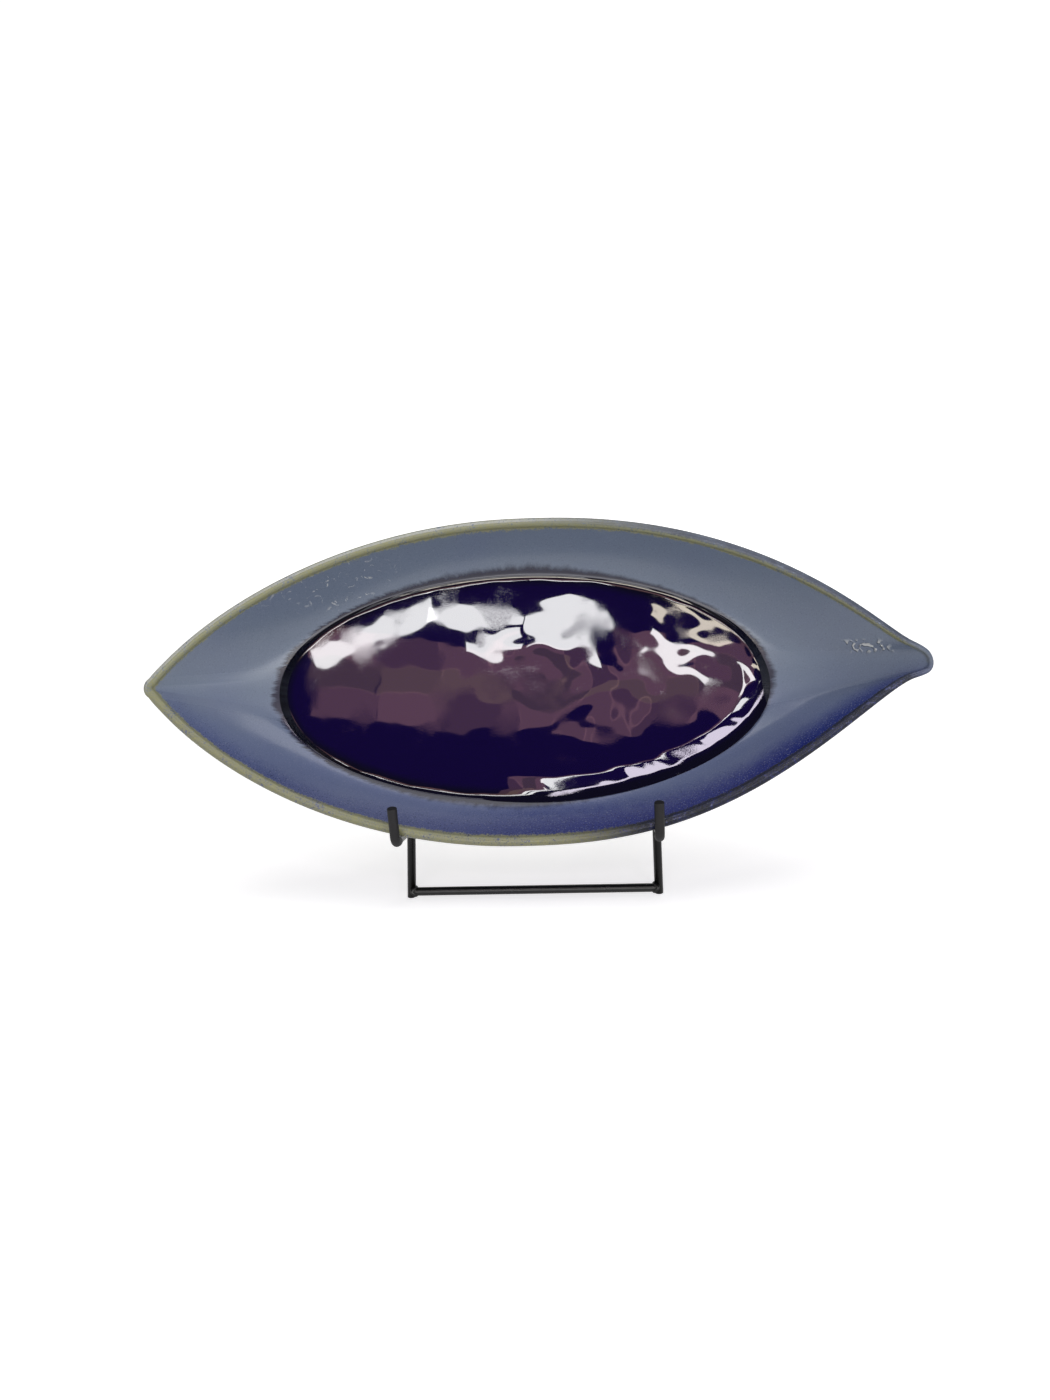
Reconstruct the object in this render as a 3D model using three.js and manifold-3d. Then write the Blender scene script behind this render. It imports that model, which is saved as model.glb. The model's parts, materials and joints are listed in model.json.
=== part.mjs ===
// A boat-shaped stoneware platter with a pool of cobalt glass in its well, leaning on a black wire stand.
// The stand is a front frame with two hooked arms and a rear prop that folds on the frame's top bar.
// Millimetres, +Z up, +X to the viewer's right, +Y away from the viewer.
// The origin is on the table, under the middle of the front floor bar.

import * as THREE from 'three';
import { mergeVertices } from 'three/addons/utils/BufferGeometryUtils.js';
import Module from 'manifold-3d';

const wasm = await Module();
wasm.setup();

// Space kept between pieces that touch, and the running space round the hinge rod
const GAP = 0.3;
const HINGE_CLEARANCE = 0.3;

// Platter outline, seen from above the dish, measured from its widest section
const HALF_WIDTH = 88.4;
const BLUNT_REACH = 200;
const NIB_REACH = 213.8;
const BLUNT_DRAW = 2.5; // how far a tip runs past the point where its two flanks would meet
const NIB_DRAW = 2.8;
const BLUNT_SWEEP = 2; // powers that bend each flank from the widest section to the tip
const NIB_SWEEP = 2.395;
const BLUNT_FULLNESS = 0.76;
const NIB_FULLNESS = 1.02;
const BLUNT_TIP_RADIUS = 7;
const NIB_TIP_RADIUS = 9;
const TIP_FADE = 4; // power that fades a tip's rounding out towards the widest section
const NIB_BOW = 3.75; // sideways bow of the centre line before the nib
const BOW_START = 3.6; // powers that swell the bow along the end and bring it back at the tip
const BOW_RETURN = 2;

// Platter section
const LIP_RADIUS = 2.6;
const NIB_LIP_RADIUS = 1.3; // the lip thins out to this at the nib
const LIP_THINNING = 6; // power that keeps the thinning close to the nib
const SIDE_WALL = 25.7; // plan width from the outline to the pool at the sides and at the blunt end
const END_WALL = 65;
const FOOT_INSET = 14; // how far the flat foot stays inside the pool's edge
const FLOOR_THICKNESS = 4.5;
const POOL_DEPTH = 3.5;
const POOL_EDGE = 1.2;
const DISH_DEPTH = 26; // from the pool's surface to the lip at the sides
const SHEER = 10; // how much higher the tips are than the sides
const WALL_CURVE = 1.5; // powers of the inner and outer wall's rise
const OUTER_CURVE = 2.2;
const PLATTER_SHIFT = -5; // the widest section sits this far to the right of the stand's middle
const PLATTER_TILT = THREE.MathUtils.degToRad(23); // lean of the platter's plane from upright

// Stand
const BAR_DIAMETER = 4.76;
const ARM_DIAMETER = 3.97;
const LEG_SPACING = 136.4;
const FRAME_LEAN = THREE.MathUtils.degToRad(22);
const UPRIGHT_LENGTH = 150;
const TOP_BAR_DROP = 12; // from the uprights' ends down to the top bar's axis
const ARM_HEIGHT = 34.4; // where the arm's axis meets the upright's axis
const ARM_RISE = THREE.MathUtils.degToRad(12);
const HOOK_HEIGHT = 20; // from the corner of the bend to the sleeve's end
const HOOK_LEAN = THREE.MathUtils.degToRad(3.7);
const BEND_RADIUS = 6;
const LIP_TO_SLEEVE = 2.2; // along the arm, from the lip's middle to the sleeve's lower end
const SLEEVE_WALL = 0.4;
const SLEEVE_GAP = 0.17;
const SLEEVE_TAIL = 0.5; // how far the sleeve runs down the arm past the bend

// Rear prop
const PROP_REACH = 104; // from the front floor bar to the prop's floor bar
const BARREL_LENGTH = 12;
const BARREL_WALL = 1.5;
const LUG_THICKNESS = 2.4;
const LUG_HEIGHT = 10;

// Fineness of the surfaces
const SIDES = 12;
const OUTLINE_STEPS = 72;
const WELL_RINGS = 4;
const WALL_RINGS = 5;
const LIP_STEPS = 5;
const ARM_STEPS = 22;
const SLOPE_STEP = 1e-4;

const glazedClay = { color: 0x5d6690, roughness: 0.32, metalness: 0 };
const cobaltGlass = { color: 0x10033a, roughness: 0.06, metalness: 0 };
const blackBar = { color: 0x15140f, roughness: 0.38, metalness: 0.3 };
const blackVinyl = { color: 0x1b1a1c, roughness: 0.7, metalness: 0 };

// Closed shapes to solids and back
function solidOf(geometry) {
  const bare = geometry.clone();
  bare.deleteAttribute('normal');
  bare.deleteAttribute('uv');
  const merged = mergeVertices(bare);
  const vertProperties = merged.attributes.position.array;
  const triVerts = Uint32Array.from(merged.index.array);
  return new wasm.Manifold(new wasm.Mesh({ numProp: 3, vertProperties, triVerts }));
}

function geometryOf(solid) {
  const { vertProperties, triVerts } = solid.getMesh();
  const geometry = new THREE.BufferGeometry();
  geometry.setAttribute('position', new THREE.BufferAttribute(vertProperties, 3));
  geometry.setIndex(new THREE.BufferAttribute(triVerts, 1));
  geometry.computeVertexNormals();
  return geometry;
}

function cut(geometry, cutters) {
  return geometryOf(cutters.reduce((left, cutter) => left.subtract(solidOf(cutter)), solidOf(geometry)));
}

function addPiece(parent, name, geometry, finish) {
  const mesh = new THREE.Mesh(geometry, new THREE.MeshStandardMaterial(finish));
  mesh.name = name;
  parent.add(mesh);
  return mesh;
}

// A skin over closed rings of equal count, from the point over the first ring to the point under the last
function skin(topPoint, rings, bottomPoint) {
  const count = rings[0].length;
  const points = [topPoint, ...rings.flat(), bottomPoint];
  const at = (ring, step) => 1 + ring * count + (step % count);
  const faces = [];
  for (let step = 0; step < count; step += 1) {
    faces.push(0, at(0, step), at(0, step + 1));
    for (let ring = 0; ring + 1 < rings.length; ring += 1) {
      faces.push(at(ring, step), at(ring + 1, step), at(ring + 1, step + 1));
      faces.push(at(ring, step), at(ring + 1, step + 1), at(ring, step + 1));
    }
    faces.push(at(rings.length - 1, step), points.length - 1, at(rings.length - 1, step + 1));
  }
  const geometry = new THREE.BufferGeometry().setFromPoints(points);
  geometry.setIndex(faces);
  geometry.computeVertexNormals();
  return geometry;
}

// Platter

const poolLevel = FLOOR_THICKNESS + POOL_DEPTH;
const rimHeight = poolLevel + DISH_DEPTH;
const poolHalfLength = BLUNT_REACH - END_WALL;
const poolHalfWidth = HALF_WIDTH - SIDE_WALL;
const wellEdge = poolLevel - POOL_EDGE;
const bluntEnd = {
  reach: BLUNT_REACH,
  flankReach: BLUNT_REACH - BLUNT_DRAW,
  sweep: BLUNT_SWEEP,
  fullness: BLUNT_FULLNESS,
  tipRadius: BLUNT_TIP_RADIUS,
  tipLip: LIP_RADIUS,
  bow: 0,
};
const nibEnd = {
  reach: NIB_REACH,
  flankReach: NIB_REACH - NIB_DRAW,
  sweep: NIB_SWEEP,
  fullness: NIB_FULLNESS,
  tipRadius: NIB_TIP_RADIUS,
  tipLip: NIB_LIP_RADIUS,
  bow: NIB_BOW,
};

// Half the outline's width at a distance along one end: the flank, rounded into the tip
function halfWidth(end, distance) {
  const flank = HALF_WIDTH * Math.max(0, 1 - (distance / end.flankReach) ** end.sweep) ** end.fullness;
  const pastCentre = Math.max(0, distance - end.reach + end.tipRadius);
  const round = Math.sqrt(Math.max(0, end.tipRadius ** 2 - pastCentre ** 2));
  return Math.hypot(flank, round * (distance / end.reach) ** TIP_FADE);
}

function centreLine(end, distance) {
  const along = distance / end.reach;
  const peak = BOW_START / (BOW_START + BOW_RETURN);
  const swell = (t) => t ** BOW_START * (1 - t ** BOW_RETURN);
  return (end.bow * swell(along)) / swell(peak ** (1 / BOW_RETURN));
}

const endAt = (x) => (x < 0 ? bluntEnd : nibEnd);
const lipTop = (x) => rimHeight + SHEER * (x / endAt(x).reach) ** 2;
const lipRadius = (x) => THREE.MathUtils.lerp(LIP_RADIUS, endAt(x).tipLip, (x / endAt(x).reach) ** LIP_THINNING);

// Outer edge of the lip at an angle round the dish
function rimPoint(angle) {
  const end = endAt(Math.cos(angle));
  const distance = end.reach * Math.abs(Math.cos(angle));
  const side = Math.sign(Math.sin(angle)) * halfWidth(end, distance);
  return new THREE.Vector2(end.reach * Math.cos(angle), centreLine(end, distance) + side);
}

function inwardAt(angle) {
  const ahead = rimPoint(angle + SLOPE_STEP).sub(rimPoint(angle - SLOPE_STEP)).normalize();
  return new THREE.Vector2(-ahead.y, ahead.x);
}

const stations = Array.from({ length: OUTLINE_STEPS }, (_, step) => {
  const angle = ((step + 0.5) / OUTLINE_STEPS) * 2 * Math.PI;
  const rim = rimPoint(angle);
  const inward = inwardAt(angle);
  const spoke = new THREE.Vector2(Math.cos(angle), Math.sin(angle));
  const lip = lipRadius(rim.x);
  return { rim, inward, spoke, lip, beadHeight: lipTop(rim.x) - lip };
});
const ringOf = (place) => stations.map(place);
const ellipse = (spoke, inset) => new THREE.Vector2(
  spoke.x * (poolHalfLength - inset),
  spoke.y * (poolHalfWidth - inset),
);
const lift = (plan, height) => new THREE.Vector3(plan.x, plan.y, height);
const wellHeight = (share) => FLOOR_THICKNESS + (wellEdge - FLOOR_THICKNESS) * share ** 2;

function wellRings(inset, rise) {
  return Array.from({ length: WELL_RINGS }, (_, index) => {
    const share = (index + 1) / WELL_RINGS;
    return ringOf(({ spoke }) => lift(ellipse(spoke, inset).multiplyScalar(share), wellHeight(share) + rise));
  });
}

function wallRing(share) {
  return ringOf(({ rim, inward, spoke, lip, beadHeight }) => {
    const lipInside = rim.clone().addScaledVector(inward, 2 * lip);
    const plan = ellipse(spoke, 0).lerp(lipInside, share);
    return lift(plan, THREE.MathUtils.lerp(poolLevel, beadHeight, share ** WALL_CURVE));
  });
}

function lipRing(share) {
  const turn = Math.PI * share;
  return ringOf(({ rim, inward, lip, beadHeight }) => lift(
    rim.clone().addScaledVector(inward, lip * (1 + Math.cos(turn))),
    beadHeight + lip * Math.sin(turn),
  ));
}

function outerRing(share) {
  return ringOf(({ rim, spoke, beadHeight }) => lift(
    ellipse(spoke, FOOT_INSET).lerp(rim, share),
    beadHeight * share ** OUTER_CURVE,
  ));
}

function platterBody() {
  const shares = (count) => Array.from({ length: count }, (_, index) => (index + 1) / count);
  const rings = [
    ...wellRings(0, 0),
    ringOf(({ spoke }) => lift(ellipse(spoke, 0), poolLevel)),
    ...shares(WALL_RINGS).map(wallRing),
    ...shares(LIP_STEPS).map(lipRing),
    ...shares(WALL_RINGS).map((share) => outerRing(1 - share)),
  ];
  return skin(new THREE.Vector3(0, 0, FLOOR_THICKNESS), rings, new THREE.Vector3(0, 0, 0));
}

function cobaltPool() {
  const top = ringOf(({ spoke }) => lift(ellipse(spoke, GAP), poolLevel));
  const rings = [top, ...wellRings(GAP, GAP).reverse()];
  const middle = FLOOR_THICKNESS + GAP;
  return skin(new THREE.Vector3(0, 0, poolLevel), rings, new THREE.Vector3(0, 0, middle));
}

// Bars, twelve-sided, with flats at the true radius

const cornerRadius = (diameter) => diameter / 2 / Math.cos(Math.PI / SIDES);
const barCorner = cornerRadius(BAR_DIAMETER);

// A bar along Z from its lower to its upper end, with a flat to the front
function uprightBar(diameter, low, high) {
  const corner = cornerRadius(diameter);
  return new THREE.CylinderGeometry(corner, corner, high - low, SIDES, 1, false, Math.PI / SIDES)
    .rotateX(Math.PI / 2)
    .translate(0, 0, (high + low) / 2);
}

// A bar along X about its middle, with a flat below
function crossBar(diameter, length) {
  const corner = cornerRadius(diameter);
  return new THREE.CylinderGeometry(corner, corner, length, SIDES, 1, false, Math.PI / SIDES)
    .rotateZ(Math.PI / 2);
}

// A leg from the floor, which cuts it level, up its leaning axis
function footedLeg(lean, length) {
  const spare = 2 * BAR_DIAMETER;
  const floor = new THREE.BoxGeometry(spare, 2 * spare, spare).translate(0, 0, -spare / 2).rotateX(lean);
  return cut(uprightBar(BAR_DIAMETER, -spare / 2, length), [floor]);
}

// A cross bar whose ends are hollowed to fit two leaning legs
function fittedCrossBar(spacing, lean) {
  const reach = 2 * BAR_DIAMETER;
  const legs = [-1, 1].map((side) => uprightBar(BAR_DIAMETER + 2 * GAP, -reach, reach)
    .rotateX(-lean)
    .translate((side * spacing) / 2, 0, 0));
  return cut(crossBar(BAR_DIAMETER, spacing), legs);
}

// Two legs with a floor bar between their feet, in a group that leans
function footedFrame({ left, right, bar, spacing, lean, footY, leg }) {
  const frame = new THREE.Group();
  const toAxis = BAR_DIAMETER / 2;
  frame.position.y = footY - toAxis * Math.tan(lean);
  frame.rotation.x = -lean;
  addPiece(frame, left, leg, blackBar).position.x = -spacing / 2;
  addPiece(frame, right, leg, blackBar).position.x = spacing / 2;
  const floorBar = addPiece(frame, bar, fittedCrossBar(spacing, lean), blackBar);
  floorBar.position.z = toAxis / Math.cos(lean);
  floorBar.rotation.x = lean;
  return frame;
}

// Front frame, with its top bar across the backs of the uprights

const topBarAlong = UPRIGHT_LENGTH - TOP_BAR_DROP;
const topBarBehind = BAR_DIAMETER + GAP;
const frontFrame = footedFrame({
  left: 'left_upright',
  right: 'right_upright',
  bar: 'floor_bar',
  spacing: LEG_SPACING,
  lean: FRAME_LEAN,
  footY: 0,
  leg: footedLeg(FRAME_LEAN, UPRIGHT_LENGTH),
});
addPiece(frontFrame, 'top_bar', crossBar(BAR_DIAMETER, LEG_SPACING + BAR_DIAMETER), blackBar)
  .position.set(0, topBarBehind, topBarAlong);

// A point of the front frame's side view, given across and along its leaning axis
function onFrontFrame(across, along) {
  const point = new THREE.Vector3(0, across, along);
  return point.applyEuler(frontFrame.rotation).add(frontFrame.position);
}

// Platter's place: its lip lies on the arms and its foot leans on the uprights

const platterAxes = new THREE.Matrix4().makeRotationX(Math.PI / 2 - PLATTER_TILT);
const acrossPlatter = new THREE.Vector3(0, 1, 0).transformDirection(platterAxes);
const outOfPlatter = new THREE.Vector3(0, 0, 1).transformDirection(platterAxes);
const alongArm = new THREE.Vector3(0, -Math.cos(ARM_RISE), Math.sin(ARM_RISE));
const aboveArm = new THREE.Vector3(0, Math.sin(ARM_RISE), Math.cos(ARM_RISE));
const armRoot = onFrontFrame(0, ARM_HEIGHT / Math.cos(FRAME_LEAN));

// Middle of the lip's bead over the inner side of one arm, measured from the foot's centre
function lipOverArm(side) {
  const x = side * (LEG_SPACING / 2 - cornerRadius(ARM_DIAMETER)) - PLATTER_SHIFT;
  const end = endAt(x);
  const edge = centreLine(end, Math.abs(x)) - halfWidth(end, Math.abs(x));
  return new THREE.Vector3()
    .addScaledVector(acrossPlatter, edge + LIP_RADIUS)
    .addScaledVector(outOfPlatter, lipTop(x) - LIP_RADIUS);
}

const lipRests = [-1, 1].map(lipOverArm);
const lowestLip = Math.min(...lipRests.map((rest) => rest.dot(aboveArm)));
const aboveArmAxis = cornerRadius(ARM_DIAMETER) + GAP + LIP_RADIUS - lowestLip;
const uprightFront = [ARM_HEIGHT, UPRIGHT_LENGTH].map((along) => onFrontFrame(-barCorner, along));
const footClear = Math.max(...uprightFront.map((point) => point.dot(outOfPlatter))) + GAP;
const restHeight = armRoot.dot(aboveArm) + aboveArmAxis;
const spread = outOfPlatter.y * aboveArm.z - outOfPlatter.z * aboveArm.y;
const platterPlace = new THREE.Vector3(
  PLATTER_SHIFT,
  (footClear * aboveArm.z - restHeight * outOfPlatter.z) / spread,
  (restHeight * outOfPlatter.y - footClear * aboveArm.y) / spread,
);

const platter = new THREE.Group();
platter.position.copy(platterPlace);
platter.rotation.setFromRotationMatrix(platterAxes);
addPiece(platter, 'platter_body', platterBody(), glazedClay);
addPiece(platter, 'cobalt_pool', cobaltPool(), cobaltGlass);

// Arms: each runs forward from its upright under the lip, then bends up into a hook

const upHook = new THREE.Vector3(0, -Math.sin(HOOK_LEAN), Math.cos(HOOK_LEAN));
const bendRun = BEND_RADIUS * Math.tan(alongArm.angleTo(upHook) / 2);
const lipAlongArm = Math.max(...lipRests.map((rest) => (
  rest.clone().add(platterPlace).sub(armRoot).dot(alongArm)
)));
const bendStart = lipAlongArm + LIP_TO_SLEEVE + SLEEVE_TAIL;
const hookCorner = armRoot.clone().addScaledVector(alongArm, bendStart + bendRun);
const hookTip = hookCorner.clone().addScaledVector(upHook, HOOK_HEIGHT);

function armPath() {
  const intoBend = hookCorner.clone().addScaledVector(alongArm, -bendRun);
  const outOfBend = hookCorner.clone().addScaledVector(upHook, bendRun);
  const path = new THREE.CurvePath();
  path.add(new THREE.LineCurve3(armRoot, intoBend));
  path.add(new THREE.QuadraticBezierCurve3(intoBend, hookCorner, outOfBend));
  path.add(new THREE.LineCurve3(outOfBend, hookTip));
  return path;
}

function armTube(diameter) {
  const corner = cornerRadius(diameter);
  const section = new THREE.Shape(Array.from({ length: SIDES }, (_, step) => {
    const angle = ((step + 0.5) / SIDES) * 2 * Math.PI;
    return new THREE.Vector2(corner * Math.cos(angle), corner * Math.sin(angle));
  }));
  return new THREE.ExtrudeGeometry(section, { extrudePath: armPath(), steps: ARM_STEPS, bevelEnabled: false });
}

// A block that takes away everything past a point in one direction
function blockPast(point, direction) {
  const size = UPRIGHT_LENGTH;
  const turn = new THREE.Quaternion().setFromUnitVectors(new THREE.Vector3(0, 0, 1), direction);
  return new THREE.BoxGeometry(size, size, size)
    .translate(0, 0, size / 2)
    .applyQuaternion(turn)
    .translate(...point.toArray());
}

function armHook() {
  const tip = hookTip.clone().addScaledVector(upHook, -SLEEVE_WALL - GAP);
  const upright = uprightBar(BAR_DIAMETER + 2 * GAP, 0, UPRIGHT_LENGTH)
    .rotateX(frontFrame.rotation.x)
    .translate(...frontFrame.position.toArray());
  return cut(armTube(ARM_DIAMETER), [blockPast(tip, upHook), upright]);
}

function hookSleeve() {
  const bore = ARM_DIAMETER + 2 * SLEEVE_GAP;
  const boreEnd = hookTip.clone().addScaledVector(upHook, -SLEEVE_WALL);
  const core = cut(armTube(bore), [blockPast(boreEnd, upHook)]);
  const lowerEnd = armRoot.clone().addScaledVector(alongArm, bendStart - SLEEVE_TAIL);
  return cut(armTube(bore + 2 * SLEEVE_WALL), [core, blockPast(lowerEnd, alongArm.clone().negate())]);
}

const arms = new THREE.Group();
for (const [side, name] of [[-1, 'left'], [1, 'right']]) {
  addPiece(arms, `${name}_arm_hook`, armHook(), blackBar).position.x = (side * LEG_SPACING) / 2;
  addPiece(arms, `${name}_hook_sleeve`, hookSleeve(), blackVinyl).position.x = (side * LEG_SPACING) / 2;
}

// Rear prop: two legs that hang from barrels on the top bar, with a floor bar between their feet

const hinge = onFrontFrame(topBarBehind, topBarAlong);
const barrelBore = barCorner + HINGE_CLEARANCE;
const barrelRadius = barrelBore + BARREL_WALL;
const barrelX = LEG_SPACING / 2 - barCorner - GAP - BARREL_LENGTH / 2;
const propLean = -Math.atan((PROP_REACH - hinge.y) / (hinge.z - BAR_DIAMETER / 2));
const propLength = hinge.z / Math.cos(propLean);

function hingeBarrel() {
  const half = BARREL_LENGTH / 2;
  const section = [
    [barrelBore, -half],
    [barrelRadius, -half],
    [barrelRadius, half],
    [barrelBore, half],
    [barrelBore, -half],
  ].map(([radius, along]) => new THREE.Vector2(radius, along));
  return new THREE.LatheGeometry(section, SIDES).rotateZ(Math.PI / 2);
}

const barrelCutter = crossBar(2 * (barrelRadius + GAP), 2 * BARREL_LENGTH);
const propLeg = cut(footedLeg(propLean, propLength), [barrelCutter.clone().translate(0, 0, propLength)]);
const prop = footedFrame({
  left: 'left_prop_leg',
  right: 'right_prop_leg',
  bar: 'prop_floor_bar',
  spacing: 2 * barrelX,
  lean: propLean,
  footY: PROP_REACH,
  leg: propLeg,
});

// A tab on the barrel that meets the back of the upright when the prop is open
function stopLug(side) {
  const inner = barrelX - BARREL_LENGTH / 2;
  const outer = LEG_SPACING / 2 + barCorner;
  const front = barCorner + GAP - topBarBehind;
  const tab = new THREE.BoxGeometry(outer - inner, LUG_THICKNESS, LUG_HEIGHT)
    .translate((side * (outer + inner)) / 2, front + LUG_THICKNESS / 2, LUG_HEIGHT / 2);
  return cut(tab, [crossBar(2 * (barrelRadius + GAP), 2 * outer)]);
}

for (const [side, name] of [[-1, 'left'], [1, 'right']]) {
  addPiece(frontFrame, `${name}_hinge_barrel`, hingeBarrel(), blackBar)
    .position.set(side * barrelX, topBarBehind, topBarAlong);
  addPiece(frontFrame, `${name}_stop_lug`, stopLug(side), blackBar)
    .position.set(0, topBarBehind, topBarAlong);
}

const platterOnStand = new THREE.Group();
platterOnStand.add(frontFrame, arms, platter, prop);

export default platterOnStand;
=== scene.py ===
# %% [markdown]
# # A boat-shaped platter on a folding wire stand
#
# The object is a stoneware dish shaped like a small boat. A pool of cobalt glass has melted and set
# in its well. The dish leans on a stand of black round bar: a front frame with two hooked arms, and
# a rear prop that folds. This lesson dresses the measured model of it. Every piece is made in
# metres, in the place that the model gives.

# %% Load the measured model
import json
import math

import bmesh
import bpy
from mathutils import Matrix, Vector


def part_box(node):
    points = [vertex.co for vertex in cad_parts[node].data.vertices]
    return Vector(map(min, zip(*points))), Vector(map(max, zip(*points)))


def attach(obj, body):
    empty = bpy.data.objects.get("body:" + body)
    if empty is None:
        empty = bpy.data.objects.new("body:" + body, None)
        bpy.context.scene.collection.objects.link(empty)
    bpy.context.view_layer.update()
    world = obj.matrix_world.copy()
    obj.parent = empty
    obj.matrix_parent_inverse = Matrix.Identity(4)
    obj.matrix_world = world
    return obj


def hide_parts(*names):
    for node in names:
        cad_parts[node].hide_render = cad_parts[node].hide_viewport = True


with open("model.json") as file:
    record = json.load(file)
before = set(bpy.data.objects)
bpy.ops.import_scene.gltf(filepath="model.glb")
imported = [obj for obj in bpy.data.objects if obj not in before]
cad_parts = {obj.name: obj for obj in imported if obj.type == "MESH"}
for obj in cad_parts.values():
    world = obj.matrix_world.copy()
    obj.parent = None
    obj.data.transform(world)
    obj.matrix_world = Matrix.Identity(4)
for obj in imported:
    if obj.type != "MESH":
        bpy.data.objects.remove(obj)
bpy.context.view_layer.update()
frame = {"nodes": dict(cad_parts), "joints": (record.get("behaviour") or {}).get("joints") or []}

# %% [markdown]
# ## The camera
#
# A camera can be placed by eye or worked out. This one was worked out from points that the measured
# model and the picture share: the dish's outline, the pool's ends and the stand's feet. The focal
# length is in pixels of a picture that is 1400 pixels high, so the lens follows from the sensor's
# long side.

# %% Place the camera
PICTURE_HEIGHT = 1400
FOCAL_PIXELS = 1076
SENSOR_SIZE = 36
CAMERA_PLACE = Vector((0.0478, -0.5441, 0.2545))
CAMERA_YAW = math.radians(4.96)
CAMERA_PITCH = math.radians(14.78)
CAMERA_ROLL = math.radians(-3.08)

scene = bpy.context.scene
camera_data = bpy.data.cameras.new("camera")
camera_data.sensor_width = SENSOR_SIZE
camera_data.lens = FOCAL_PIXELS / PICTURE_HEIGHT * SENSOR_SIZE
camera = bpy.data.objects.new("camera", camera_data)
camera.matrix_world = (
    Matrix.Translation(CAMERA_PLACE)
    @ Matrix.Rotation(CAMERA_YAW, 4, "Z")
    @ Matrix.Rotation(math.pi / 2 - CAMERA_PITCH, 4, "X")
    @ Matrix.Rotation(CAMERA_ROLL, 4, "Z")
)
scene.collection.objects.link(camera)
scene.camera = camera
print("lens:", round(camera_data.lens, 2), "mm")

# %% [markdown]
# ## Numbers that flow through nodes
#
# Node trees do sums one Math node at a time, which is slow to write and hard to read. A small class
# lets plain Python sums write those nodes. The same class serves the trees that make shapes and the
# trees that make finishes.

# %% A number in a node tree
def plug(value, slot):
    """Joins a field or socket to a node's input, or sets a plain value there."""
    socket = value.socket if isinstance(value, Field) else value
    if isinstance(socket, bpy.types.NodeSocket):
        slot.id_data.links.new(socket, slot)
    else:
        slot.default_value = socket


class Field:
    """A number that a node gives; each sum or product with it adds one Math node."""

    def __init__(self, socket):
        self.socket = socket
        self.tree = socket.id_data

    def math(self, operation, *others, clamp=False):
        node = self.tree.nodes.new("ShaderNodeMath")
        node.operation = operation
        node.use_clamp = clamp
        for value, slot in zip((self, *others), node.inputs):
            plug(value, slot)
        return Field(node.outputs[0])

    __add__ = __radd__ = lambda self, other: self.math("ADD", other)
    __mul__ = __rmul__ = lambda self, other: self.math("MULTIPLY", other)
    __sub__ = lambda self, other: self.math("SUBTRACT", other)
    __rsub__ = lambda self, other: self * -1 + other
    __truediv__ = lambda self, other: self.math("DIVIDE", other)
    __pow__ = lambda self, other: self.math("POWER", other)

    def at_least(self, low):
        return self.math("MAXIMUM", low)

    def share(self):
        return self.math("ADD", 0.0, clamp=True)

    def root(self):
        return self.at_least(0).math("SQRT")

    def smooth(self, low, high):
        """Runs softly from 0 at low to 1 at high; low may be the greater."""
        node = self.tree.nodes.new("ShaderNodeMapRange")
        node.interpolation_type = "SMOOTHSTEP"
        for name, value in (("Value", self), ("From Min", low), ("From Max", high)):
            plug(value, node.inputs[name])
        return Field(node.outputs[0])


def vector(tree, x, y, z):
    node = tree.nodes.new("ShaderNodeCombineXYZ")
    for value, slot in zip((x, y, z), node.inputs):
        plug(value, slot)
    return node.outputs[0]


def noise(tree, place, scale, detail=2.0, rough=0.5, twist=0.0):
    """Soft noise about 0, from about -0.5 to 0.5."""
    node = tree.nodes.new("ShaderNodeTexNoise")
    inputs = {"Scale": scale, "Detail": detail, "Roughness": rough, "Distortion": twist, "Vector": place}
    for name, value in inputs.items():
        plug(value, node.inputs[name])
    return Field(node.outputs[0]) - 0.5


print("node sums ready")

# %% [markdown]
# ## Trees that make shapes
#
# A Geometry Nodes tree holds a shape as a rule with named sizes. Here each tree runs once and its
# result is kept as a plain mesh, so the finished piece has no live modifier and its points are
# already in place.

# %% Helpers for shape trees
SHARP_ANGLE = math.radians(50)


def shape_tree(name, sizes):
    """An empty tree with one input per size; gives the tree, its incoming geometry and its sizes."""
    tree = bpy.data.node_groups.new(name, "GeometryNodeTree")
    tree.is_modifier = True
    for way in ("INPUT", "OUTPUT"):
        tree.interface.new_socket("Geometry", in_out=way, socket_type="NodeSocketGeometry")
    for size in sizes:
        tree.interface.new_socket(size, in_out="INPUT", socket_type="NodeSocketFloat")
    entry = tree.nodes.new("NodeGroupInput")
    return tree, entry.outputs["Geometry"], {size: Field(entry.outputs[size]) for size in sizes}


def step(tree, kind, geometry=None, settings=None, **inputs):
    """Adds one Geometry node with inputs named in lower case; gives its first output."""
    node = tree.nodes.new("GeometryNode" + kind)
    for setting, value in (settings or {}).items():
        setattr(node, setting, value)
    if geometry is not None:
        plug(geometry, node.inputs[0])
    for name, value in inputs.items():
        plug(value, node.inputs[name.replace("_", " ").title()])
    return node.outputs[0]


def finish_tree(tree, geometry, material):
    """Ends a tree: smooth faces, instances made real, and its finish."""
    geometry = step(tree, "SetShadeSmooth", geometry)
    geometry = step(tree, "RealizeInstances", geometry)
    geometry = step(tree, "SetMaterial", geometry, material=material)
    plug(geometry, tree.nodes.new("NodeGroupOutput").inputs["Geometry"])


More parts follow.
